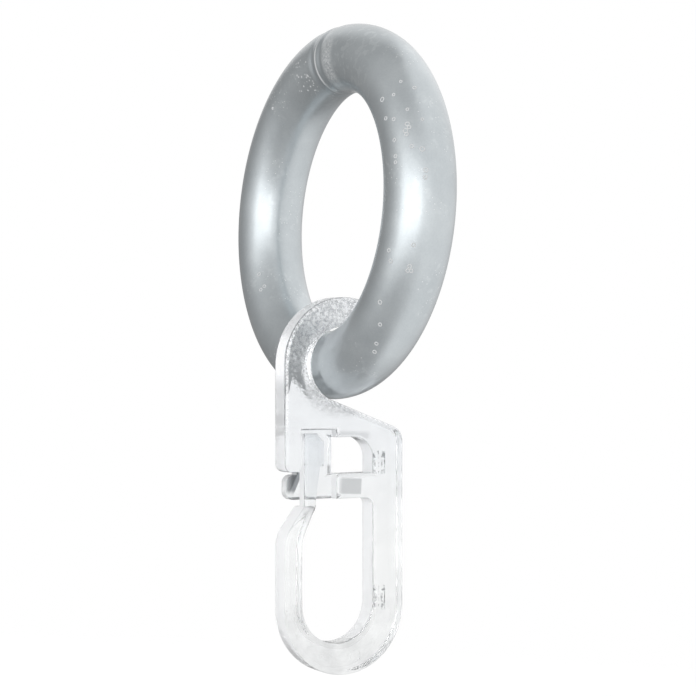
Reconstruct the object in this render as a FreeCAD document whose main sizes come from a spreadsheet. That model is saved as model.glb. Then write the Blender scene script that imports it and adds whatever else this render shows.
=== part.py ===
import FreeCAD, Part
import Sketcher
import math
import os
import re

# Curtain ring with a clear snap hook. All lengths are in millimetres.
# The ring's centre is the origin, its axis is +Y and +Z points up.
# The hook is drawn in its own upright plane, with the centre of its eye at
# the sketch origin, the back of the hook towards +Y and its front face at +X.

doc = FreeCAD.newDocument("curtain_ring")

# Driving sizes, one row each: name, value.
SIZES = [
    # the ring
    ("ring_centre_radius", 18.0),
    ("tube_radius", 4.0),
    ("butt_joint_angle", 0.7),
    ("butt_joint_depth", 0.08),
    ("butt_joint_turn", 2.0),
    # how the hook hangs on the ring
    ("hook_offset", 1.9),
    ("swing_angle", 3.34),
    # the hook's outline
    ("eye_clearance", 0.4),
    ("eye_wall", 3.4),
    ("hook_half_depth", 1.6),
    ("tip_angle", 5.0),
    ("shoulder_slope", 21.0),
    ("shoulder_corner", 1.8),
    ("tip_corner", 1.1),
    ("edge_round", 0.6),
    # the latch frame under the eye, each drop from the part above it
    ("eye_floor", 4.0),
    ("latch_seat_rise", 0.9),
    ("window_height", 4.25),
    ("crossbar_height", 2.85),
    ("post_end_rise", 0.35),
    ("spine_width", 4.1),
    ("post_width", 2.15),
    ("web_width", 4.55),
    ("window_corner", 2.5),
    ("post_end_round", 0.9),
    ("crossbar_end_set_in", 0.8),
    ("crossbar_end_round", 0.9),
    # the tape loop and its spring arm
    ("loop_length", 12.1),
    ("bend_set_down", 0.5),
    ("loop_corner", 1.0),
    ("arm_width", 2.3),
    ("arm_waist", 0.8),
    ("arm_slope_length", 3.8),
    ("arm_outer_rise", 0.5),
    ("arm_top_width", 1.6),
    ("arm_bend_round", 4.0),
    # the latch: a neck and a head in the channel
    ("latch_gap", 0.15),
    ("latch_play", 0.3),
    ("latch_end_play", 0.4),
    ("neck_width", 2.15),
    ("head_width", 2.65),
    ("head_length", 3.8),
    ("head_chamfer", 0.9),
    # marks of the mould
    ("ejector_width", 0.5),
    ("ejector_height", 2.6),
    ("ejector_depth", 0.2),
    ("ejector_below_window_top", 3.15),
    ("gate_radius", 0.65),
    ("gate_side", 1.2),
    ("gate_rise", 2.15),
    ("gate_depth", 0.12),
]

sheet = doc.addObject("Spreadsheet::Sheet", "dimensions")
for row, (name, value) in enumerate(SIZES, start=1):
    sheet.set("A%d" % row, name)
    sheet.set("B%d" % row, str(value))
    sheet.setAlias("B%d" % row, name)
doc.recompute()


# Turn the size names in an expression into references to the sheet.
def bound(text):
    for name, value in SIZES:
        text = re.sub(r"\b%s\b" % name, "dimensions." + name, text)
    return text


# The number that a bound expression has now.
def number(text):
    return float(sheet.evalExpression(bound(text)))


def plane(body, role):
    for feature in body.Origin.OriginFeatures:
        if feature.Role == role:
            return feature
    raise ValueError(role)


# An empty sketch on the body's YZ plane, set forward by an optional amount.
# In it x runs along +Y and y along +Z.
def side_sketch(body, label, forward=None):
    sketch = body.newObject("Sketcher::SketchObject", label)
    sketch.Label = label
    sketch.AttachmentSupport = [(plane(body, "YZ_Plane"), "")]
    sketch.MapMode = "FlatFace"
    if forward:
        sketch.setExpression("AttachmentOffset.Base.z", bound(forward))
    return sketch


def fix_point(sketch, element, vertex, x, y):
    for kind, text in (("DistanceX", x), ("DistanceY", y)):
        index = sketch.addConstraint(Sketcher.Constraint(kind, -1, 1, element, vertex, number(text)))
        sketch.setExpression("Constraints[%d]" % index, bound(text))


def add_circle(sketch, x, y, radius):
    centre = FreeCAD.Vector(number(x), number(y), 0)
    circle = Part.Circle(centre, FreeCAD.Vector(0, 0, 1), number(radius))
    element = sketch.addGeometry(circle, False)
    fix_point(sketch, element, 3, x, y)
    index = sketch.addConstraint(Sketcher.Constraint("Radius", element, number(radius)))
    sketch.setExpression("Constraints[%d]" % index, bound(radius))
    return element


# Straight lines through the corners; the last joins the first unless it is open.
def add_lines(sketch, corners, closed=True):
    points = [FreeCAD.Vector(number(x), number(y), 0) for x, y in corners]
    count = len(points) if closed else len(points) - 1
    elements = []
    for step in range(count):
        end = points[(step + 1) % len(points)]
        elements.append(sketch.addGeometry(Part.LineSegment(points[step], end), False))
    for step in range(1, count):
        sketch.addConstraint(Sketcher.Constraint("Coincident", elements[step - 1], 2, elements[step], 1))
    if closed:
        sketch.addConstraint(Sketcher.Constraint("Coincident", elements[-1], 2, elements[0], 1))
    for step, (x, y) in enumerate(corners):
        if step < count:
            fix_point(sketch, elements[step], 1, x, y)
        else:
            fix_point(sketch, elements[-1], 2, x, y)
    return elements


# An arc that closes a chain of lines. It runs anticlockwise from the start
# angle to the end angle, both in degrees. Its two ends and the height of its
# centre settle it.
def add_arc(sketch, x, y, radius, start, end, first, last):
    centre = FreeCAD.Vector(number(x), number(y), 0)
    circle = Part.Circle(centre, FreeCAD.Vector(0, 0, 1), number(radius))
    arc = Part.ArcOfCircle(circle, math.radians(start), math.radians(end))
    element = sketch.addGeometry(arc, False)
    sketch.addConstraint(Sketcher.Constraint("Coincident", element, 1, first[0], first[1]))
    sketch.addConstraint(Sketcher.Constraint("Coincident", element, 2, last[0], last[1]))
    index = sketch.addConstraint(Sketcher.Constraint("DistanceY", -1, 1, element, 3, number(y)))
    sketch.setExpression("Constraints[%d]" % index, bound(y))
    return element


def pad(body, label, sketch, length, symmetric=False):
    feature = body.newObject("PartDesign::Pad", label)
    feature.Label = label
    feature.Profile = sketch
    feature.setExpression("Length", bound(length))
    feature.Midplane = symmetric
    sketch.Visibility = False
    doc.recompute()
    return feature


def pocket(body, label, sketch, length=None, forward=False):
    feature = body.newObject("PartDesign::Pocket", label)
    feature.Label = label
    feature.Profile = sketch
    if length is None:
        feature.Type = 1
        feature.Midplane = True
    else:
        feature.setExpression("Length", bound(length))
        feature.Reversed = forward
    sketch.Visibility = False
    doc.recompute()
    return feature


def round_edges(body, label, radius, wanted):
    base = body.Tip
    names = []
    for index, edge in enumerate(base.Shape.Edges, start=1):
        if wanted(edge):
            names.append("Edge%d" % index)
    feature = body.newObject("PartDesign::Fillet", label)
    feature.Label = label
    feature.Base = (base, names)
    feature.setExpression("Radius", bound(radius))
    doc.recompute()
    return feature


# The ring: one round section turned about the ring's axis. It stops just
# short of a full turn, and a slightly thinner piece closes it, so the joint
# of the ring's two ends shows as a fine line round the section.
ring = doc.addObject("PartDesign::Body", "ring")
ring.Label = "ring"


def turned(label, sketch, angle, backwards):
    feature = ring.newObject("PartDesign::Revolution", label)
    feature.Label = label
    feature.Profile = sketch
    feature.ReferenceAxis = (sketch, ["H_Axis"])
    feature.setExpression("Angle", bound(angle))
    feature.Reversed = backwards
    sketch.Visibility = False
    doc.recompute()
    return feature


section = side_sketch(ring, "section")
add_circle(section, "0", "ring_centre_radius", "tube_radius")
turned("turn", section, "360 - butt_joint_angle", False)
joint_section = side_sketch(ring, "joint_section")
add_circle(joint_section, "0", "ring_centre_radius", "tube_radius - butt_joint_depth")
turned("joint_turn", joint_section, "butt_joint_angle", True)
ring.setExpression(
    "Placement",
    bound("placement(vector(0; 0; 0); rotation(vector(0; 1; 0); -butt_joint_turn))"),
)

# Places in the hook's sketches, worked out from the driving sizes. Sides are
# measured from the middle line and drops from the centre of the eye.
BORE = "(tube_radius + eye_clearance)"
HALF_WIDTH = "(%s + eye_wall)" % BORE
OUT = "(%s + 1)" % HALF_WIDTH
SPINE = "(%s - spine_width)" % HALF_WIDTH
POST = "(%s - post_width)" % HALF_WIDTH
WEB = "(%s - web_width)" % POST
ARM = "(%s - arm_width)" % HALF_WIDTH
LATCH_OUTER = "(%s - latch_play)" % POST
ARM_TOP_INNER = "(%s - arm_top_width)" % LATCH_OUTER
NECK_INNER = "(%s - neck_width)" % LATCH_OUTER
HEAD_INNER = "(%s - head_width)" % LATCH_OUTER
CROSSBAR_END = "(%s - crossbar_end_set_in)" % HALF_WIDTH
WINDOW_TOP = "(%s + eye_floor)" % BORE
LATCH_SEAT = "(%s - latch_seat_rise)" % WINDOW_TOP
HEAD_TOP = "(%s + latch_end_play)" % LATCH_SEAT
HEAD_BOTTOM = "(%s + head_length)" % HEAD_TOP
CROSSBAR_TOP = "(%s + window_height)" % WINDOW_TOP
POST_BOTTOM = "(%s - post_end_rise)" % CROSSBAR_TOP
CROSSBAR_BOTTOM = "(%s + crossbar_height)" % CROSSBAR_TOP
ARM_WAIST = "(%s + arm_waist)" % CROSSBAR_BOTTOM
ARM_INNER_BEND = "(%s + arm_slope_length)" % ARM_WAIST
ARM_OUTER_BEND = "(%s - arm_outer_rise)" % ARM_INNER_BEND
LOOP_CENTRE = "(%s + loop_length)" % CROSSBAR_BOTTOM
BEND_CENTRE = "(%s + bend_set_down)" % LOOP_CENTRE

# The hook's blank: a plate with two round ends and parallel sides.
hook = doc.addObject("PartDesign::Body", "hook")
hook.Label = "hook"
blank = side_sketch(hook, "blank")
sides = []
for side in ("-" + HALF_WIDTH, HALF_WIDTH):
    sides.append(add_lines(blank, [(side, "0"), (side, "-" + BEND_CENTRE)], closed=False)[0])
add_arc(blank, "0", "0", HALF_WIDTH, 0, 180, (sides[1], 1), (sides[0], 1))
add_arc(blank, "0", "-" + BEND_CENTRE, HALF_WIDTH, 180, 360, (sides[0], 2), (sides[1], 2))
pad(hook, "blank_pad", blank, "2 * hook_half_depth", symmetric=True)

# The open eye: the bore, the mouth between its tip and the shoulder, and the
# shoulder that leaves the bore along a tangent.
eye = side_sketch(hook, "eye")
foot_x = "-%s * sin(shoulder_slope * 1 deg)" % BORE
foot_y = "-%s * cos(shoulder_slope * 1 deg)" % BORE
edge_y = "-%s / cos(shoulder_slope * 1 deg) - %s * tan(shoulder_slope * 1 deg)" % (BORE, OUT)
corners = [
    ("%s * cos(tip_angle * 1 deg)" % BORE, "%s * sin(tip_angle * 1 deg)" % BORE),
    (OUT, "%s * tan(tip_angle * 1 deg)" % OUT),
    (OUT, edge_y),
    (foot_x, foot_y),
]
mouth = add_lines(eye, corners, closed=False)
start = number("tip_angle")
end = 270 - number("shoulder_slope")
add_arc(eye, "0", "0", BORE, start, end, (mouth[0], 1), (mouth[-1], 2))
pocket(hook, "eye_cut", eye)

# The latch window between the web and the spine.
window = side_sketch(hook, "window")
add_lines(window, [
    ("-" + WEB, "-" + WINDOW_TOP),
    (SPINE, "-" + WINDOW_TOP),
    (SPINE, "-" + CROSSBAR_TOP),
    ("-" + WEB, "-" + CROSSBAR_TOP),
])
pocket(hook, "window_cut", window)

# The loop that the curtain's tape hangs in, with its full round at the bottom.
loop = side_sketch(hook, "loop")
lines = add_lines(loop, [
    ("-" + ARM, "-" + LOOP_CENTRE),
    ("-" + ARM, "-" + ARM_INNER_BEND),
    ("-" + ARM_TOP_INNER, "-" + ARM_WAIST),
    ("-" + ARM_TOP_INNER, "-" + CROSSBAR_BOTTOM),
    (SPINE, "-" + CROSSBAR_BOTTOM),
    (SPINE, "-" + LOOP_CENTRE),
], closed=False)
add_arc(loop, "(%s - %s) / 2" % (SPINE, ARM), "-" + LOOP_CENTRE, "(%s + %s) / 2" % (SPINE, ARM),
        180, 360, (lines[0], 1), (lines[-1], 2))
pocket(hook, "loop_cut", loop)

# The notch outside the spring arm, where it leans in towards the latch.
notch = side_sketch(hook, "notch")
add_lines(notch, [
    ("-" + OUT, "-" + CROSSBAR_BOTTOM),
    ("-" + LATCH_OUTER, "-" + CROSSBAR_BOTTOM),
    ("-" + LATCH_OUTER, "-" + ARM_WAIST),
    ("-" + HALF_WIDTH, "-" + ARM_OUTER_BEND),
    ("-" + OUT, "-" + ARM_OUTER_BEND),
])
pocket(hook, "notch_cut", notch)


# The latch channel is open to the front: from the post to the web's edge,
# down through the crossbar and out under the post. The spring arm's neck and
# head are left standing in it.
channel = side_sketch(hook, "channel")
add_lines(channel, [
    ("-" + OUT, "-" + CROSSBAR_BOTTOM),
    ("-" + LATCH_OUTER, "-" + CROSSBAR_BOTTOM),
    ("-" + LATCH_OUTER, "-" + HEAD_TOP),
    ("-%s - head_chamfer" % HEAD_INNER, "-" + HEAD_TOP),
    ("-" + HEAD_INNER, "-%s - head_chamfer" % HEAD_TOP),
    ("-" + HEAD_INNER, "-" + HEAD_BOTTOM),
    ("-" + NECK_INNER, "-" + HEAD_BOTTOM),
    ("-" + ARM_TOP_INNER, "-" + CROSSBAR_BOTTOM),
    ("-" + WEB, "-" + CROSSBAR_BOTTOM),
    ("-" + WEB, "-" + LATCH_SEAT),
    ("-" + POST, "-" + LATCH_SEAT),
    ("-" + POST, "-" + POST_BOTTOM),
    ("-" + OUT, "-" + POST_BOTTOM),
])
pocket(hook, "channel_cut", channel, "hook_half_depth + 1", forward=True)

# A thin gap behind the neck and head lets the latch slide over the web.
gap = side_sketch(hook, "latch_gap_outline")
add_lines(gap, [
    ("-" + OUT, "-" + ARM_WAIST),
    ("-" + WEB, "-" + ARM_WAIST),
    ("-" + WEB, "-" + LATCH_SEAT),
    ("-" + POST, "-" + LATCH_SEAT),
    ("-" + POST, "-" + POST_BOTTOM),
    ("-" + OUT, "-" + POST_BOTTOM),
])
pocket(hook, "latch_gap_cut", gap, "latch_gap", forward=True)

# Behind the latch the crossbar stops short of the outside, under the post.
release = side_sketch(hook, "release")
add_lines(release, [
    ("-" + OUT, "-" + CROSSBAR_BOTTOM),
    ("-" + CROSSBAR_END, "-" + CROSSBAR_BOTTOM),
    ("-" + CROSSBAR_END, "-" + CROSSBAR_TOP),
    ("-" + POST, "-" + CROSSBAR_TOP),
    ("-" + POST, "-" + POST_BOTTOM),
    ("-" + OUT, "-" + POST_BOTTOM),
])
pocket(hook, "release_cut", release, "hook_half_depth + 1")

# The arm's back half ends at its waist, so the arm can spring past the crossbar.
relief = side_sketch(hook, "relief")
add_lines(relief, [
    ("-" + OUT, "-" + ARM_WAIST),
    ("-%s + arm_waist" % ARM_TOP_INNER, "-" + ARM_WAIST),
    ("-%s + arm_waist" % ARM_TOP_INNER, "-" + CROSSBAR_BOTTOM),
    ("-" + OUT, "-" + CROSSBAR_BOTTOM),
])
pocket(hook, "relief_cut", relief, "hook_half_depth + 1")


# Edges across the hook's thickness, found by where they stand.
def corner_at(x, y):
    near_y = number(x)
    near_z = number(y)

    def test(edge):
        box = edge.BoundBox
        if box.XLength < number("0.8 * hook_half_depth"):
            return False
        return math.hypot(box.Center.y - near_y, box.Center.z - near_z) < 0.05

    return test


def any_of(*tests):
    return lambda edge: any(test(edge) for test in tests)


SLOPE = "shoulder_slope * 1 deg"
SHOULDER = "(%s / cos(%s) + %s * tan(%s))" % (BORE, SLOPE, HALF_WIDTH, SLOPE)
tip_outer = ("%s * cos(tip_angle * 1 deg)" % HALF_WIDTH, "%s * sin(tip_angle * 1 deg)" % HALF_WIDTH)
round_edges(hook, "shoulder_round", "shoulder_corner", corner_at(HALF_WIDTH, "-" + SHOULDER))
round_edges(hook, "tip_round", "tip_corner", any_of(corner_at(*corners[0]), corner_at(*tip_outer)))
round_edges(hook, "window_round", "window_corner", corner_at(SPINE, "-" + WINDOW_TOP))
round_edges(hook, "loop_round", "loop_corner", corner_at(SPINE, "-" + CROSSBAR_BOTTOM))
round_edges(hook, "arm_round", "arm_bend_round", any_of(
    corner_at("-" + ARM, "-" + ARM_INNER_BEND),
    corner_at("-" + HALF_WIDTH, "-" + ARM_OUTER_BEND),
))
round_edges(hook, "post_round", "post_end_round", corner_at("-" + HALF_WIDTH, "-" + POST_BOTTOM))
round_edges(hook, "crossbar_round", "crossbar_end_round", any_of(
    corner_at("-" + CROSSBAR_END, "-" + CROSSBAR_TOP),
    corner_at("-" + CROSSBAR_END, "-" + CROSSBAR_BOTTOM),
))


# Every edge of the front and back faces is rounded.
def face_edge(edge):
    box = edge.BoundBox
    return box.XLength < 1e-4 and abs(abs(box.Center.x) - number("hook_half_depth")) < 1e-4


round_edges(hook, "face_round", "edge_round", face_edge)

# Two narrow upright ejector marks on the back of the spine, beside its middle,
# and the gate's mark in front.
marks = side_sketch(hook, "ejector_marks", "-hook_half_depth")
MARK_LEFT = "(%s - spine_width / 2)" % HALF_WIDTH
MARK_RIGHT = "(%s + ejector_width)" % MARK_LEFT
for drop in ("(%s + ejector_below_window_top)" % WINDOW_TOP, LOOP_CENTRE):
    add_lines(marks, [
        (side, "-%s %s ejector_height / 2" % (drop, sign))
        for side, sign in ((MARK_LEFT, "-"), (MARK_RIGHT, "-"), (MARK_RIGHT, "+"), (MARK_LEFT, "+"))
    ])
pocket(hook, "ejector_cut", marks, "ejector_depth", forward=True)
gate = side_sketch(hook, "gate_mark", "hook_half_depth")
add_circle(gate, "gate_side", "-(%s + %s - gate_rise)" % (BEND_CENTRE, HALF_WIDTH), "gate_radius")
pocket(hook, "gate_cut", gate, "gate_depth")

# The hook hangs a little to one side of the ring's lowest point, swung back.
hook.setExpression("Placement", bound(
    "placement(vector(hook_offset * 1 mm; 0 mm; -sqrt(ring_centre_radius ^ 2 - hook_offset ^ 2) * 1 mm); "
    "rotation(vector(1; 0; 0); swing_angle))"
))
doc.recompute()

# Everything has to be sound before it is written.
for item in doc.Objects:
    if "Invalid" in item.State or "Error" in item.State:
        raise ValueError("%s: %s" % (item.Label, item.State))
os.makedirs("parts", exist_ok=True)
for node in (ring, hook):
    if node.Shape.isNull() or not node.Shape.isValid() or len(node.Shape.Solids) != 1:
        raise ValueError("%s is not one sound solid" % node.Label)
    node.Shape.exportStep(os.path.join("parts", node.Label + ".step"))
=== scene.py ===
import math

import bpy
import numpy as np
from mathutils import Matrix, Vector


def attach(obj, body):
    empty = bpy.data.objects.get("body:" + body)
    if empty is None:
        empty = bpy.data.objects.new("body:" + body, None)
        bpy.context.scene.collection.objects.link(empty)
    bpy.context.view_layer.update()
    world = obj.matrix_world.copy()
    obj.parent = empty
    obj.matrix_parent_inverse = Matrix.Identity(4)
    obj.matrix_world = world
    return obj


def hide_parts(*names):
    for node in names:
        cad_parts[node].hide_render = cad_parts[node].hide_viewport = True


# The looks of a curtain ring with a clear snap hook: finishes, light and camera.
# Lengths are in metres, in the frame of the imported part: the ring's centre is
# the origin, its axis is +Y, +Z is up and +X is the side of the hook's latch.
# The zones of a material are in millimetres, as the comments on them say.

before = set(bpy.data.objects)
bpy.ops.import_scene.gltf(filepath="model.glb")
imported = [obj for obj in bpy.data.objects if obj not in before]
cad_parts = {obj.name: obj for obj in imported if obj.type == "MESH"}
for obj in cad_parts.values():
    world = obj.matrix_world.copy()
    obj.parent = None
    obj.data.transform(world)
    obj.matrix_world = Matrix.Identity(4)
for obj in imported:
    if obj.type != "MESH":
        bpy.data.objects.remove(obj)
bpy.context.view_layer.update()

MM = 0.001
RING_CENTRE_RADIUS = 18 * MM
TUBE_RADIUS = 4 * MM

# Where the ring's two ends join, in degrees round the ring from +X towards +Z.
JOINT_TURN = 92.35

# The camera stands almost level with the hook's eye, well to the ring's side.
CAMERA_PLACE = (185.35 * MM, -101.49 * MM, -21.91 * MM)
CAMERA_AZIMUTH = 60.81
CAMERA_ELEVATION = 1.63
CAMERA_ROLL = 2.91
CAMERA_LENS = 93.28
SENSOR_WIDTH = 36.0
NEAREST_SEEN = 10 * MM


class Value:
    """A socket in a node tree. Arithmetic on it adds Math nodes, and node() adds any other node."""

    def __init__(self, tree, socket=None):
        self.tree = tree
        self.socket = socket

    def node(self, kind, inputs, output=0, stops=None, **settings):
        """Add a node: its settings come first, then the values or links of its inputs."""
        made = self.tree.nodes.new(kind)
        for name, setting in settings.items():
            setattr(made, name, setting)
        if stops:
            ramp = made.color_ramp
            while len(ramp.elements) < len(stops):
                ramp.elements.new(0.5)
            for element, (place, shade) in zip(ramp.elements, stops):
                element.position = place
                element.color = shade
        for name, value in inputs.items():
            if isinstance(value, Value):
                self.tree.links.new(value.socket, made.inputs[name])
            else:
                made.inputs[name].default_value = value
        return Value(self.tree, made.outputs[output])

    def maths(self, operation, *values):
        return self.node("ShaderNodeMath", dict(enumerate(values)), operation=operation)

    def __add__(self, other):
        return self.maths("ADD", self, other)

    def __radd__(self, other):
        return self.maths("ADD", other, self)

    def __sub__(self, other):
        return self.maths("SUBTRACT", self, other)

    def __rsub__(self, other):
        return self.maths("SUBTRACT", other, self)

    def __mul__(self, other):
        return self.maths("MULTIPLY", self, other)

    def __rmul__(self, other):
        return self.maths("MULTIPLY", other, self)

    def __truediv__(self, other):
        return self.maths("DIVIDE", self, other)

    def __rtruediv__(self, other):
        return self.maths("DIVIDE", other, self)

    def __abs__(self):
        return self.maths("ABSOLUTE", self)

    def at_most(self, other):
        return self.maths("MINIMUM", self, other)

    def at_least(self, other):
        return self.maths("MAXIMUM", self, other)

    def step(self, low, high):
        """Zero below low, one above high and an even ramp of smooth shape between them."""
        return self.node("ShaderNodeMapRange", {0: self, 1: low, 2: high}, interpolation_type="SMOOTHSTEP")

    def fade(self, low, high):
        """One below low, zero above high and the same ramp the other way round."""
        return 1 - self.step(low, high)

    def band(self, middle, full, end):
        """One up to full away from the middle, and zero from end away on."""
        return abs(self - middle).fade(full, end)

    def between(self, rise, fall):
        """Zero, then one from the end of rise to the start of fall, then zero again."""
        return self.step(*rise) * self.fade(*fall)

    def parts(self):
        """The three components of a vector."""
        return [self.node("ShaderNodeSeparateXYZ", {0: self}, output=axis) for axis in range(3)]

    def towards(self, axis):
        """How far a vector reaches along an axis."""
        return self.node("ShaderNodeVectorMath", {0: self, 1: axis}, output="Value", operation="DOT_PRODUCT")

    def blend(self, low, high):
        """The colour low where this value is zero and the colour high where it is one."""
        return self.node("ShaderNodeMix", {0: self, 6: low, 7: high}, output=2, data_type="RGBA")


def fresh_tree(holder):
    """An empty node tree for a material or a world, and a Value to add nodes with."""
    holder.use_nodes = True
    holder.node_tree.nodes.clear()
    return Value(holder.node_tree)


def finish_tree(tree, shader, kind="ShaderNodeOutputMaterial"):
    output = tree.tree.nodes.new(kind)
    tree.tree.links.new(shader.socket, output.inputs["Surface"])


def object_place(tree):
    return tree.node("ShaderNodeTexCoord", {}, output="Object")


def millimetres(place):
    """The three coordinates of a place, in millimetres."""
    return [part * (1 / MM) for part in place.parts()]


def noise(tree, place, size, detail=2.0, roughness=0.5):
    """Soft noise from 0 to 1 whose patches are about size wide."""
    return tree.node("ShaderNodeTexNoise", {
        "Vector": place, "Scale": 1 / size, "Detail": detail, "Roughness": roughness,
    })


def cell_distance(tree, place, size):
    """Distance to the nearest of scattered points that lie about size apart, in parts of size."""
    return tree.node("ShaderNodeTexVoronoi", {"Vector": place, "Scale": 1 / size})


# The ring's pearl plastic

DARK_PEARL = (0.545, 0.59, 0.615, 1)
LIGHT_PEARL = (0.68, 0.725, 0.745, 1)
SPECK_WHITE = (0.93, 0.95, 0.96, 1)
DULL_BUBBLE = (0.88, 0.90, 0.91, 1)
BRIGHT_BUBBLE = (0.97, 0.98, 0.98, 1)

# Zones, in millimetres. A band has its middle, measured along the ring from the joint, how far
# from there it is full and where it ends. Heights have the stretch over which a mark comes in and
# the stretch over which it goes out.
LINE_BAND = (0, 0.10, 0.22)
LINE_HEIGHTS = ((13.8, 15.5), (18, 20.5))
DARK_BAND = (0.75, 0.2, 0.7)
HAZY_BAND = (-2.8, 0.5, 1.7)
HAZY_HEIGHTS = ((13.5, 15.5), (18.5, 20.5))
FIELD_BAND = (3.4, 1.2, 2.2)
FIELD_HEIGHTS = ((13.6, 14.8), (17.6, 18.8))
BLOTCHED_BAND = (-7.5, 3, 6.5)
UPPER_RING = (5, 8)

# How large the patterns are, and the stretch of their values over which each shows.
FLAKE_SIZE = 0.22 * MM
CLOUD_SIZE = 4 * MM
BLOB_SIZE = 0.8 * MM
CLUSTER_SIZE = 6 * MM
SPECK_SPACING = 0.45 * MM
SWELL_SIZE = 2.2 * MM
MOTTLE_SIZE = 0.12 * MM
BLOBS_SHOW = (0.54, 0.70)
CLUSTERS_SHOW = (0.52, 0.62)
HAZE_SHOWS = (0.35, 0.65)
SPECK_RIM = (0.6, 1.0)

# How far each pattern moves the tone from dark pearl, 0, towards light pearl, 1.
FLAKE_TONE = 0.5
CLOUD_TONE = 1.6
BLOTCH_TONE = 1.4
CLUSTER_TONE = 0.4
HAZY_TONE = 0.9
DARK_TONE = 0.7
FIELD_TONE = 0.2

# How large the specks are, in parts of their spacing, and how white the line and the haze are.
STRAY_SPECK = 0.04
CLUSTER_SPECK = 0.14
HAZY_SPECK = 0.24
FIELD_SPECK = 0.32
LINE_WHITE = 0.95
HAZE_WHITE = 0.6

# The relief of the ring: its depth, and the shares of the flakes and of the slow swells in it.
RING_RELIEF = 0.02 * MM
FLAKE_RELIEF = 0.6
SWELL_RELIEF = 2.0


def ring_plastic():
    """Satin silver-grey pearl plastic with fine flakes, a clear skin and bright specks.

    The joint of the ring's ends shows as a whitish line between two dark bands. Specks lie in
    clusters, in a field on one side of the joint and in a hazy band on its other side, and past
    that band the pearl is blotched. Here along is the distance from the joint and z the height."""
    material = bpy.data.materials.new("ring_plastic")
    tree = fresh_tree(material)
    place = object_place(tree)
    x, _, z = millimetres(place)
    turn = math.radians(JOINT_TURN)
    along = z * math.cos(turn) - x * math.sin(turn)
    upper = z.step(*UPPER_RING)
    line = along.band(*LINE_BAND) * z.between(*LINE_HEIGHTS)
    dark_bands = abs(along).band(*DARK_BAND) * upper
    hazy_band = along.band(*HAZY_BAND) * z.between(*HAZY_HEIGHTS)
    speck_field = along.band(*FIELD_BAND) * z.between(*FIELD_HEIGHTS)
    blotched = along.band(*BLOTCHED_BAND) * upper

    flakes = noise(tree, place, FLAKE_SIZE, detail=1.0)
    clouds = noise(tree, place, CLOUD_SIZE, detail=5.0, roughness=0.65)
    blobs = noise(tree, place, BLOB_SIZE, detail=1.5).step(*BLOBS_SHOW)
    clusters = noise(tree, place, CLUSTER_SIZE).step(*CLUSTERS_SHOW)
    tone = 0.5 + (flakes - 0.5) * FLAKE_TONE + (clouds - 0.5) * CLOUD_TONE
    tone = tone + blobs * (blotched * BLOTCH_TONE + clusters * CLUSTER_TONE)
    tone = tone + hazy_band * HAZY_TONE - dark_bands * DARK_TONE + speck_field * FIELD_TONE

    speck_size = (clusters * CLUSTER_SPECK).at_least(hazy_band * HAZY_SPECK)
    speck_size = speck_size.at_least(speck_field * FIELD_SPECK) + STRAY_SPECK
    specks = (cell_distance(tree, place, SPECK_SPACING) / speck_size).fade(*SPECK_RIM)
    haze = hazy_band * flakes.step(*HAZE_SHOWS)
    white = specks.at_least(line * LINE_WHITE).at_least(haze * HAZE_WHITE)

    height = (flakes - 0.5) * FLAKE_RELIEF + noise(tree, place, SWELL_SIZE) * SWELL_RELIEF
    bump = tree.node("ShaderNodeBump", {"Height": height, "Distance": RING_RELIEF, "Strength": 0.4})
    surface = tree.node("ShaderNodeBsdfPrincipled", {
        "Base Color": white.blend(tone.blend(DARK_PEARL, LIGHT_PEARL), SPECK_WHITE),
        "Metallic": 0.85 - white * 0.7,
        "Roughness": 0.34 + (flakes - 0.5) * 0.12,
        "Coat Weight": 0.6,
        "Coat Roughness": 0.08,
        "Normal": bump,
    })
    finish_tree(tree, surface)
    return material


def bubble_plastic():
    """Whitish pearl where the skin of the ring is thin over an air bubble, mottled by the flakes."""
    material = bpy.data.materials.new("bubble_plastic")
    tree = fresh_tree(material)
    mottle = noise(tree, object_place(tree), MOTTLE_SIZE, detail=1.0)
    surface = tree.node("ShaderNodeBsdfPrincipled", {
        "Base Color": mottle.blend(DULL_BUBBLE, BRIGHT_BUBBLE),
        "Roughness": 0.25,
    })
    finish_tree(tree, surface)
    return material


# The hook's clear plastic

CLEAR = (0.95, 0.96, 0.96, 1)
# The upper hook's greyer tone, partly haze and partly a painted reflection of the ring above.
HAZY_REFLECTING_CLEAR = (0.91, 0.93, 0.95, 1)
DARK_CLEAR = (0.10, 0.11, 0.12, 1)
# The frosted share is white and glows between FAINT_GLOW and STRONG_GLOW though it is no lamp: painted
# light.
FROST_WHITE = (0.95, 0.96, 0.98, 1)
FAINT_GLOW = (0.30, 0.30, 0.30, 1)
STRONG_GLOW = (0.50, 0.50, 0.50, 1)
LAMP_THROUGH_HOOK = (0.8, 0.8, 0.8, 1)
REFRACTIVE_INDEX = 1.49

# Zones, in millimetres: heights, and distances from the middle of the hook's eye. Each has the
# place where it begins to change and the place where it has changed.
EYE_BORE = (4.5, 4.9)
SMOOTH_BORE = (4.9, 5.7)
SMOOTH_HALF_HEIGHT = (1.6, 3)
SKIN_ROUND_EYE = (5.0, 6.6)
SKIN_HEIGHT = (-20.5, -17)
# Above this height the plastic is greyer: partly haze, partly a painted reflection of the ring above.
HAZE_AND_REFLECTION_HEIGHT = (-40, -24)
EDGE_HEIGHT = (-27, -24)
# Below this height the mist is full: painted soft shade on the bend.
SHADED_BEND = (-49, -42)
# The heights of a band of painted highlight on the walls round the eye and on its bore.
HIGHLIGHT_HEIGHTS = ((-21, -18.5), (-16, -14))
# Above this height the top of the C carries a painted highlight.
CROWN_HEIGHT = (-14.5, -11.5)

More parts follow.
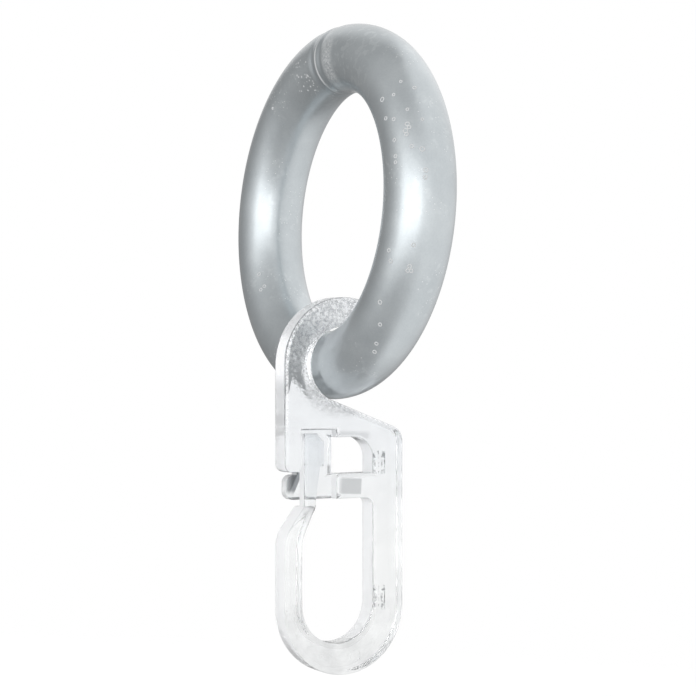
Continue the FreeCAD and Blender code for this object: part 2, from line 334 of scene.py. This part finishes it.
# How squarely a face looks along X is 1 on the flat sides and 0 on the walls. This is where it counts as a
# wall, as the part of a rounded edge with painted glints and as the part with a painted dark line, and how
# far a wall has to look towards -Y to be a frosted one.
WALL_SQUARENESS = (0.2, 0.4)
FROSTED_SIDE = (0.3, 0.7)
BRIGHT_EDGE = (0.70, 0.12, 0.24)
DARK_EDGE = (0.30, 0.08, 0.2)

# How large the patterns are, and the stretch of their values over which each shows.
GRAIN_SIZE = 0.36 * MM
FLOW_SIZE = 3.5 * MM
MIST_SIZE = 2.2 * MM
RAGGED_SIZE = 0.5 * MM
CRYSTALS_SHOW = (0.38, 0.62)
MIST_SHOWS = (0.3, 0.7)
RAGGED_SHOWS = (0.40, 0.55)

# The relief of the hook: its depth, and the share of the skin's grain next to the flow marks.
HOOK_RELIEF = 0.1 * MM
GRAIN_RELIEF = 2.4

# How dark each thing makes the plastic, from 0 to 1, and the share of the mist above the bend. The mist's
# extra on the bend, the edges' dark line, the dimple and the window's roof are painted shade.
SKIN_SHADE = 0.45
MIST_SHADE = 0.2
LEAST_MIST = 0.3
EDGE_SHADE = 0.8
DIMPLE_SHADE = 0.6
ROOF_SHADE = 0.4

# How frosted each thing makes it, from 0, clear, to 1, the share of an edge's frost that lies in its
# crystals, and how much of all frost a dark edge takes away. All frost is white and glows, which is painted
# light, and on the highlight band, the bore, the edges and the C's top it is a painted highlight.
WALL_FROST = 0.5
HIGHLIGHT_FROST = 0.35
BORE_HIGHLIGHT = 0.15
EDGE_GLINT = 0.8
EDGE_SPARKLE = 0.7
SKIN_FROST = 0.14
CROWN_HIGHLIGHT = 0.5
CLEARED_BY_DARK_EDGE = 0.9

# The share of the stronger painted glow on the highlight band that only the eye's bore has.
BORE_GLOW = 0.3

# Painted shade on the crossbar and the window's roof, in millimetres, each by where it comes in and where it
# goes out along an axis: shade in the crossbar's dimple, a painted dark reflection in the crossbar's rounded
# end and soft shade along the window's roof. The front side and the back half are along X, and the end of
# the dark spot slants from its foot.
FRONT_SIDE = (3.3, 3.4)
BACK_HALF = (1.9, 2.1)
DIMPLE_Y = ((-0.5, 0.4), (2.7, 2.9))
DIMPLE_Z = ((-32.9, -32.7), (-31.1, -30.9))
SPOT_START = (-6.1, -5.3)
SPOT_END = (-5.35, -5.2)
SPOT_Z = ((-33.4, -32.6), (-30.6, -30.4))
SPOT_FOOT = -33.4
SPOT_SLANT = 0.40
ROOF_Y = ((-1.3, -0.3), (2.9, 4.1))
ROOF_Z = ((-26.6, -26.2), (-25.9, -25.3))

# Painted dark reflections round the ejector marks on the spine's back, in millimetres: across the spine the
# middle of a pair and half the distance in it, up the spine the middle of the two pairs and half the
# distance between them, and how far a mark reaches from its own middle. Its rim is in parts of that reach,
# its depth is along X from the hook's back, and its outline wanders by up to half of the last value.
SPINE_LEAN = 0.058
PAIR_MIDDLE = 4.60
HALF_PAIR = 0.41
PAIRS_MIDDLE = -37.0
HALF_PAIRS = 7.9
EJECTOR_SHADE_WIDTH = 0.27
EJECTOR_SHADE_HEIGHT = 1.25
EJECTOR_SHADE_RIM = ((0.3, 0.65), (0.95, 1.15))
EJECTOR_SHADE_DEPTH = (0.6, 0.8)
EJECTOR_SHADE_WANDER = 0.5


def clear_plastic():
    """Clear moulded plastic, smooth but for the spark-eroded skin round the eye, which is hazy.

    The narrow walls towards -Y are frosted white, and the frosted share glows though it is no lamp: painted
    light, which is a painted highlight on a band round the eye, on its bore and on the C's top. The rounded
    edges round the eye carry painted glints and a painted dark line, the spine and the crossbar carry
    painted shade, and the upper hook is greyer, partly haze and partly a painted reflection of the ring
    above. Lamps shine through."""
    material = bpy.data.materials.new("clear_plastic")
    tree = fresh_tree(material)
    place = object_place(tree)
    _, y, z = millimetres(place)
    above_eye = z + RING_CENTRE_RADIUS / MM
    from_eye = tree.maths("SQRT", y * y + above_eye * above_eye)
    bore = from_eye.fade(*EYE_BORE)
    smooth = from_eye.fade(*SMOOTH_BORE) * abs(above_eye).fade(*SMOOTH_HALF_HEIGHT)
    skin = z.step(*SKIN_HEIGHT).at_least(from_eye.fade(*SKIN_ROUND_EYE)) * (1 - smooth)
    # Greyer on the upper hook, partly haze and partly a painted reflection of the ring above, but clear
    # round the smooth bore.
    haze = z.step(*HAZE_AND_REFLECTION_HEIGHT) * (1 - smooth)
    # A band of painted highlight on the walls and the bore, by height.
    highlight_band = z.between(*HIGHLIGHT_HEIGHTS)
    # The top of the C, which carries a painted highlight.
    crown = z.step(*CROWN_HEIGHT)

    normal_x, normal_y, _ = tree.node("ShaderNodeTexCoord", {}, output="Normal").parts()
    square = abs(normal_x)
    wall = (0 - normal_y).step(*FROSTED_SIDE) * square.fade(*WALL_SQUARENESS)
    upper = z.step(*EDGE_HEIGHT)
    # Painted glints along one part of the rounded edges and a painted shade line along another, on the upper
    # hook.
    edge_glint = square.band(*BRIGHT_EDGE) * upper
    edge_shade_line = square.band(*DARK_EDGE) * upper

    grain = noise(tree, place, GRAIN_SIZE, roughness=0.65)
    crystals = grain.step(*CRYSTALS_SHOW)
    height = grain * skin * GRAIN_RELIEF + noise(tree, place, FLOW_SIZE)
    bump = tree.node("ShaderNodeBump", {"Height": height, "Distance": HOOK_RELIEF, "Strength": 0.8})
    # Patchy grey mist, full on the bend as painted soft shade and a smaller share above it.
    mist_and_bend_shade = z.fade(*SHADED_BEND).at_least(LEAST_MIST) * noise(tree, place, MIST_SIZE).step(*MIST_SHOWS)
    # Painted dark reflections at the ejector marks and painted shade on the crossbar and the window's roof.
    painted_marks = ejector_painted_shade(tree, place).at_least(crossbar_painted_shade(place))
    # Painted shade: the edges' dark line and the painted marks.
    dark = (edge_shade_line * EDGE_SHADE).at_least(painted_marks)
    # The tint is darkened by the skin's grain, by the mist with its painted shade on the bend, and by the
    # painted shade of the edges and the marks.
    tint = (1 - (1 - crystals) * skin * SKIN_SHADE) * (1 - mist_and_bend_shade * MIST_SHADE) * (1 - dark)
    clear = tree.node("ShaderNodeBsdfPrincipled", {
        "Base Color": tint.blend(DARK_CLEAR, haze.blend(CLEAR, HAZY_REFLECTING_CLEAR)),
        "Roughness": 0.04 + skin * 0.06,
        "IOR": REFRACTIVE_INDEX,
        "Transmission Weight": 0.94,
        "Normal": bump,
    })

    # The frosted share's glow, though it is no lamp: painted light, stronger on the highlight band and most
    # on the bore.
    glow = highlight_band * (bore * BORE_GLOW + (1 - BORE_GLOW))
    frosted_glow = tree.node("ShaderNodeBsdfPrincipled", {
        "Base Color": FROST_WHITE,
        "Roughness": 0.3,
        "IOR": REFRACTIVE_INDEX,
        "Normal": bump,
        "Emission Color": glow.blend(FAINT_GLOW, STRONG_GLOW),
        "Emission Strength": 1.0,
    })

    # Frost on the walls towards -Y, more on the band of painted highlight and most on the bore.
    glowing_wall_frost = wall * (WALL_FROST + highlight_band * (bore * BORE_HIGHLIGHT + HIGHLIGHT_FROST))
    # Painted glints on the rounded edges, frosted and sparkling with the crystals.
    painted_glints = edge_glint * (crystals * EDGE_SPARKLE + (1 - EDGE_SPARKLE)) * EDGE_GLINT
    # The skin's crystals are frosted, and more on the C's top as a painted highlight.
    skin_frost_and_crown_highlight = skin * crystals * (SKIN_FROST + crown * CROWN_HIGHLIGHT)
    glowing_frost = glowing_wall_frost.at_least(painted_glints).at_least(skin_frost_and_crown_highlight)
    # The painted shade line clears the frost away.
    glowing_frost = glowing_frost * (1 - edge_shade_line * CLEARED_BY_DARK_EDGE)
    surface = tree.node("ShaderNodeMixShader", {
        0: tree.node("ShaderNodeLightPath", {}, output="Is Shadow Ray"),
        1: tree.node("ShaderNodeMixShader", {0: glowing_frost, 1: clear, 2: frosted_glow}),
        2: tree.node("ShaderNodeBsdfTransparent", {"Color": LAMP_THROUGH_HOOK}),
    })
    finish_tree(tree, surface)
    return material


def crossbar_painted_shade(place):
    """Painted shade in the dimple in the crossbar's front, a painted dark reflection in its rounded end and
    painted soft shade along the window's roof, from 0 to 1."""
    x, y, z = millimetres(place)
    front = x.step(*FRONT_SIDE)
    # Painted shade in the crossbar's dimple.
    dimple = y.between(*DIMPLE_Y) * z.between(*DIMPLE_Z) * front
    slanting = y - (z - SPOT_FOOT) * SPOT_SLANT
    # A painted dark reflection in the crossbar's rounded end.
    spot = y.step(*SPOT_START) * slanting.fade(*SPOT_END) * z.between(*SPOT_Z) * x.fade(*BACK_HALF)
    # Painted soft shade along the window's roof.
    roof = y.between(*ROOF_Y) * z.between(*ROOF_Z) * front
    return (dimple * DIMPLE_SHADE).at_least(spot).at_least(roof * ROOF_SHADE)


def ejector_painted_shade(tree, place):
    """Two pairs of narrow upright painted dark reflections round the ejector marks on the spine's back, from
    0 to 1.

    Folding the two heights and the two marks of a pair onto each other leaves one to draw. The spine leans a
    little, and lean is the place across it, the same all the way down."""
    x, y, z = millimetres(place)
    ragged = noise(tree, place, RAGGED_SIZE, detail=1.0)
    lean = y + z * SPINE_LEAN + (ragged - 0.5) * EJECTOR_SHADE_WANDER
    across = abs(abs(lean - PAIR_MIDDLE) - HALF_PAIR) / EJECTOR_SHADE_WIDTH
    rise = abs(abs(z - PAIRS_MIDDLE) - HALF_PAIRS) / EJECTOR_SHADE_HEIGHT
    rim = across.at_least(rise).between(*EJECTOR_SHADE_RIM)
    return rim * x.fade(*EJECTOR_SHADE_DEPTH) * ragged.step(*RAGGED_SHOWS)


# The meshes

# How many steps the ring's surface has round the ring and round its section, and the share of
# the steps round the ring that is spread evenly, while the rest crowd towards the joint.
RING_STEPS = 560
SECTION_STEPS = 96
EVEN_SHARE = 0.25

# The dents on both sides of the joint, the ripples that die away from it and its groove. A whole
# ripple is 2 pi times the ripple length.
DENT_DEPTH = 0.10 * MM
DENT_WIDTH = 0.5 * MM
DENT_PLACE = 0.95 * MM
DENT_UNEVENNESS = 0.35
RIPPLE_DEPTH = 0.008 * MM
RIPPLE_REACH = 2.6 * MM
RIPPLE_LENGTH = 0.42 * MM
RIPPLE_WANDER = 1.5
GROOVE_DEPTH = 0.02 * MM
GROOVE_WIDTH = 0.11 * MM

# Air bubbles under the skin of the ring, each by its angle round the ring, its angle round the
# tube, from outside towards +Y, both in degrees, and its size against the usual one.
BUBBLES = (
    (35.3, -76.4, 1.3), (37.7, -37.2, 0.8), (34.2, -20.2, 1.0), (34.1, -54.8, 0.8), (27.3, -40.1, 0.8),
    (27.9, -79.9, 1.0), (25.8, -65.2, 1.0), (23.2, -20.3, 0.8), (22.5, -44.6, 1.2), (21.3, -42.7, 1.0),
    (20.5, -49.1, 1.3), (19.3, -48.2, 1.0), (18.8, -70.3, 1.0), (15.2, -42.5, 1.0), (14.0, -26.4, 1.3),
    (13.3, -71.4, 1.0), (11.3, -72.1, 0.9), (7.8, -22.6, 1.2), (5.7, -23.8, 1.0), (-17.2, -71.6, 1.0),
    (-20.2, -63.8, 1.1), (-13.8, -33.0, 1.0), (-20.1, -31.8, 1.1), (-21.5, -33.4, 1.0),
    (-21.3, -28.1, 1.0), (-34.2, -60.6, 1.2), (-40.9, -46.0, 1.0), (-47.6, -36.8, 1.0),
    (-50.7, -32.3, 1.1), (130.5, -101.6, 0.7), (-153.1, -126.2, 1.0), (-146.1, -131.4, 1.0),
    (-145.2, -123.2, 1.0),
)
BUBBLE_RADIUS = 0.19 * MM
BUBBLE_WALL = 0.06 * MM
RIM_STEPS = 16
WALL_STEPS = 8

# The floor, and how far from its middle it starts to fade out and has faded out.
FLOOR_HEIGHT = -0.125
FLOOR_REACH = 0.6
FLOOR_LINES = 5
FLOOR_FADE = (0.45 * FLOOR_REACH, 0.95 * FLOOR_REACH)


def dress(node, material):
    """Give a CAD node its finish in place of the plain one that it came with."""
    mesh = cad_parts[node].data
    mesh.materials.clear()
    mesh.materials.append(material)


def grid_mesh(name, points, material, closed=True):
    """A mesh over a grid of points, shape (rows, columns, 3), joined across both its ends if closed."""
    rows, columns = points.shape[:2]
    i = np.arange(rows if closed else rows - 1)[:, None]
    j = np.arange(columns if closed else columns - 1)[None, :]
    next_i = (i + 1) % rows
    next_j = (j + 1) % columns
    faces = np.stack([
        i * columns + j, next_i * columns + j, next_i * columns + next_j, i * columns + next_j,
    ], axis=-1)
    mesh = bpy.data.meshes.new(name)
    mesh.from_pydata(points.reshape(-1, 3).tolist(), [], faces.reshape(-1, 4).tolist())
    mesh.polygons.foreach_set("use_smooth", np.ones(len(mesh.polygons), bool))
    mesh.materials.append(material)
    mesh.update()
    piece = bpy.data.objects.new(name, mesh)
    bpy.context.scene.collection.objects.link(piece)
    return piece


def ring_skin(material):
    """The ring's surface, with the dents and the fine groove where its two ends were joined.

    A point turns round the ring's axis by the first parameter, closer set near the joint, and round
    the section by the second. The section's radius loses a dent on each side of the joint, shaped
    like a bell curve and uneven round the section, a ripple that dies away and a narrow groove at
    the joint itself."""
    spread = np.linspace(-1, 1, RING_STEPS, endpoint=False)
    crowding = EVEN_SHARE * spread + (1 - EVEN_SHARE) * spread ** 3
    turn = np.radians(JOINT_TURN) + np.pi * crowding
    section = np.linspace(0, 2 * np.pi, SECTION_STEPS, endpoint=False)
    u, v = np.meshgrid(turn, section, indexing="ij")
    along = (u - np.radians(JOINT_TURN)) * RING_CENTRE_RADIUS
    side = 1 + DENT_UNEVENNESS * np.sin(3 * v + 0.6)
    dents = np.exp(-((np.abs(along) - DENT_PLACE) / DENT_WIDTH) ** 2) * side
    wander = RIPPLE_WANDER * np.sin(2 * v)
    ripple = np.exp(-(along / RIPPLE_REACH) ** 2) * np.sin(along / RIPPLE_LENGTH + wander)
    groove = np.exp(-(along / GROOVE_WIDTH) ** 2)
    radius = TUBE_RADIUS - DENT_DEPTH * dents - RIPPLE_DEPTH * (1 + ripple) - GROOVE_DEPTH * groove
    reach = RING_CENTRE_RADIUS + radius * np.cos(v)
    points = np.stack([reach * np.cos(u), radius * np.sin(v), reach * np.sin(u)], axis=-1)
    return grid_mesh("ring_skin", points, material)


def bubble_rims():
    """The points of the air bubbles' rims: small tori that lie half sunk in the skin of the ring.

    A point of a rim goes round the bubble's centre by the first parameter, in the skin's own plane,
    and round the rim's section by the second."""
    listed = np.array(BUBBLES)
    ring_turn, tube_turn = np.radians(listed[:, :2]).T[:, :, None, None]
    radial = np.stack([np.cos(ring_turn), 0 * ring_turn, np.sin(ring_turn)], axis=-1)
    axial = np.array([0.0, 1.0, 0.0])
    along = np.stack([-np.sin(ring_turn), 0 * ring_turn, np.cos(ring_turn)], axis=-1)
    outward = radial * np.cos(tube_turn)[..., None] + axial * np.sin(tube_turn)[..., None]
    across = np.cross(along, outward)
    centre = radial * RING_CENTRE_RADIUS + outward * TUBE_RADIUS
    size = listed[:, 2, None, None, None]
    u = np.linspace(0, 2 * np.pi, RIM_STEPS, endpoint=False)[None, :, None, None]
    v = np.linspace(0, 2 * np.pi, WALL_STEPS, endpoint=False)[None, None, :, None]
    reach = size * BUBBLE_RADIUS + BUBBLE_WALL * np.cos(v)
    return centre + (along * np.cos(u) + across * np.sin(u)) * reach + outward * BUBBLE_WALL * np.sin(v)


def make_floor():
    """A flat square grid under the object."""
    reach = np.linspace(-FLOOR_REACH, FLOOR_REACH, FLOOR_LINES)
    x, y = np.meshgrid(reach, reach, indexing="ij")
    points = np.stack([x, y, np.full_like(x, FLOOR_HEIGHT)], axis=-1)
    floor = grid_mesh("floor", points, studio_floor(), closed=False)


# The studio

# Light levels, where 1 is white. The walls of the studio, as satin plastic
# mirrors them, by their bearing in degrees to the right of the camera's side.
WORLD_LIGHT = 0.62
WALL_TONES = (
    (-180, 0.22), (-160, 0.28), (-120, 0.32), (-100, 0.46), (-80, 0.54), (-20, 0.58), (10, 0.74),
    (24, 0.84), (29, 0.95), (60, 0.99), (100, 0.97), (130, 0.88), (150, 0.65), (180, 0.22),
)
BRIGHTEST_WALL = 1.05
DARKEST_FLOOR = 0.27
LOSS_BELOW = 0.2
HALO_TONE = 0.80
BACK_GLOW = 0.55
FLOOR_WHITE = 0.6
FLOOR_THROUGH_HOOK = 0.4
DIMMED_THROUGH_HOOK = 0.6
FLOOR_COLOUR = (0.80, 0.80, 0.80, 1)
WHITE = (1, 1, 1, 1)

# Where they are, as bearings and elevations in degrees. The halo has degrees to the side and a
# share of straight up, the dim floor a share of straight down, and the others reach as far as the
# cosine of their angle from the middle.
SOFTBOX_BEARING = (-27, 3)
BACK_GLOW_BEARING = (180, 40)
WHITE_PAPER_BEARING = -125
HALO_WIDTH = (12, 76)
HALO_HEIGHT = (0.12, 0.66)
BACK_GLOW_REACH = (0.72, 0.96)
WHITE_PAPER_REACH = (0.84, 0.93)
WHITE_BEHIND_REACH = (0.3, 0.8)
BELOW_HORIZON = (0.05, 0.4)

# The softbox: what it shows itself, where 1 is white, and the place that it faces.
SOFTBOX_BRIGHTNESS = 0.75
SOFTBOX_SIZE = (0.78, 0.34)
SOFTBOX_DISTANCE = 0.6
SOFTBOX_AIM = (0, 0, -10 * MM)


def bearing(azimuth, elevation=0.0):
    """A unit vector towards a place in the studio. Azimuth runs to the right from the camera's side."""
    turn = math.radians(CAMERA_AZIMUTH - 90 + azimuth)
    rise = math.radians(elevation)
    return Vector((math.cos(turn) * math.cos(rise), math.sin(turn) * math.cos(rise), math.sin(rise)))


def studio_tone(tree, direction):
    """How bright the studio is in a direction, as satin plastic mirrors it.

    The bearing gives the tone of the walls through a ramp, whose stops hold half a tone. Below the
    horizon the dim walls lose more of their light, round the softbox there is a halo, and high
    behind the object there is a glow."""
    unit = tree.node("ShaderNodeVectorMath", {0: direction}, operation="NORMALIZE")
    ahead, right, up = [unit.towards(axis) for axis in (bearing(0), bearing(90), Vector((0, 0, 1)))]
    turn = tree.maths("ARCTAN2", right, ahead)
    stops = [(0.5 + place / 360, (tone / 2, tone / 2, tone / 2, 1)) for place, tone in WALL_TONES]
    walls = tree.node("ShaderNodeValToRGB", {"Fac": turn * (0.5 / math.pi) + 0.5}, stops=stops) * 2
    low = (0 - up).step(*BELOW_HORIZON)
    walls = (walls - low * (BRIGHTEST_WALL - walls) * LOSS_BELOW).at_least(DARKEST_FLOOR)
    softbox_azimuth, softbox_elevation = SOFTBOX_BEARING
    wide = (turn * (180 / math.pi)).band(softbox_azimuth, *HALO_WIDTH)
    tall = up.band(math.sin(math.radians(softbox_elevation)), *HALO_HEIGHT)
    behind = unit.towards(bearing(*BACK_GLOW_BEARING)).step(*BACK_GLOW_REACH)
    return walls + wide * tall * HALO_TONE + behind * BACK_GLOW


def seen_rays(tree):
    """One each for rays from the camera, mirrored rays and rays that have passed through plastic."""
    camera, glossy, passing = [
        tree.node("ShaderNodeLightPath", {}, output="Is " + kind + " Ray")
        for kind in ("Camera", "Glossy", "Transmission")
    ]
    return camera, glossy * (1 - passing), passing


def studio_floor():
    """A pale floor that fades out into the white with distance and keeps the object's shadow."""
    material = bpy.data.materials.new("pale_floor")
    tree = fresh_tree(material)
    place = object_place(tree)
    x, y, _ = place.parts()
    distance = tree.maths("SQRT", x * x + y * y)
    fading = distance.step(*FLOOR_FADE)
    camera, mirrored, passing = seen_rays(tree)
    matt = tree.node("ShaderNodeBsdfDiffuse", {"Color": FLOOR_COLOUR})
    white = tree.node("ShaderNodeEmission", {
        "Strength": camera * FLOOR_WHITE + passing * FLOOR_THROUGH_HOOK,
    })
    dim = tree.node("ShaderNodeEmission", {"Strength": studio_tone(tree, place)})
    solid = tree.node("ShaderNodeMixShader", {
        0: mirrored, 1: tree.node("ShaderNodeAddShader", {0: matt, 1: white}), 2: dim,
    })
    clear = tree.node("ShaderNodeBsdfTransparent", {})
    surface = tree.node("ShaderNodeMixShader", {0: fading, 1: solid, 2: clear})
    finish_tree(tree, surface)
    return material


def make_world():
    """Even light on the object, white behind it, and the studio that its plastics mirror and show.

    Through the clear plastic the studio shows lighter, and white straight behind the object and
    where white paper stands beside it."""
    world = bpy.data.worlds.new("studio")
    bpy.context.scene.world = world
    tree = fresh_tree(world)
    direction = tree.node("ShaderNodeTexCoord", {}, output="Generated")
    room = studio_tone(tree, direction)
    behind = direction.towards(bearing(180)).step(*WHITE_BEHIND_REACH)
    paper = direction.towards(bearing(WHITE_PAPER_BEARING)).step(*WHITE_PAPER_REACH)
    shown = 1 - (1 - room.at_most(1)) * (1 - behind.at_least(paper)) * DIMMED_THROUGH_HOOK
    camera, mirrored, passing = seen_rays(tree)
    even = 1 - camera.at_least(mirrored).at_least(passing)
    strength = camera + mirrored * room + passing * shown + even * WORLD_LIGHT
    background = tree.node("ShaderNodeBackground", {"Color": WHITE, "Strength": strength})
    finish_tree(tree, background, "ShaderNodeOutputWorld")


def make_softbox():
    """A rectangular light that faces the object."""
    width, height = SOFTBOX_SIZE
    light = bpy.data.lights.new("key_softbox", "AREA")
    light.shape = "RECTANGLE"
    light.size = width
    light.size_y = height
    light.energy = SOFTBOX_BRIGHTNESS * math.pi * width * height
    lamp = bpy.data.objects.new("key_softbox", light)
    place = bearing(*SOFTBOX_BEARING)
    lamp.location = place * SOFTBOX_DISTANCE + Vector(SOFTBOX_AIM)
    lamp.rotation_euler = place.to_track_quat("Z", "Y").to_euler()
    bpy.context.scene.collection.objects.link(lamp)


def make_camera():
    """The photograph's camera, from its place and its three angles."""
    data = bpy.data.cameras.new("camera")
    data.lens = CAMERA_LENS
    data.sensor_width = SENSOR_WIDTH
    data.clip_start = NEAREST_SEEN
    camera = bpy.data.objects.new("camera", data)
    turn = Matrix.Rotation(math.radians(CAMERA_AZIMUTH), 4, "Z")
    tilt = Matrix.Rotation(math.radians(90 + CAMERA_ELEVATION), 4, "X")
    roll = Matrix.Rotation(math.radians(CAMERA_ROLL), 4, "Z")
    camera.matrix_world = Matrix.Translation(CAMERA_PLACE) @ turn @ tilt @ roll
    bpy.context.scene.collection.objects.link(camera)
    bpy.context.scene.camera = camera


dress("hook", clear_plastic())

skin = ring_skin(ring_plastic())
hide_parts("ring")
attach(skin, "ring")
rim_plastic = bubble_plastic()
for number, points in enumerate(bubble_rims(), 1):
    rim = grid_mesh("bubble_%02d" % number, points, rim_plastic)
    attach(rim, "ring")

make_floor()
make_world()
make_softbox()
make_camera()
bpy.context.scene.view_settings.view_transform = "Standard"
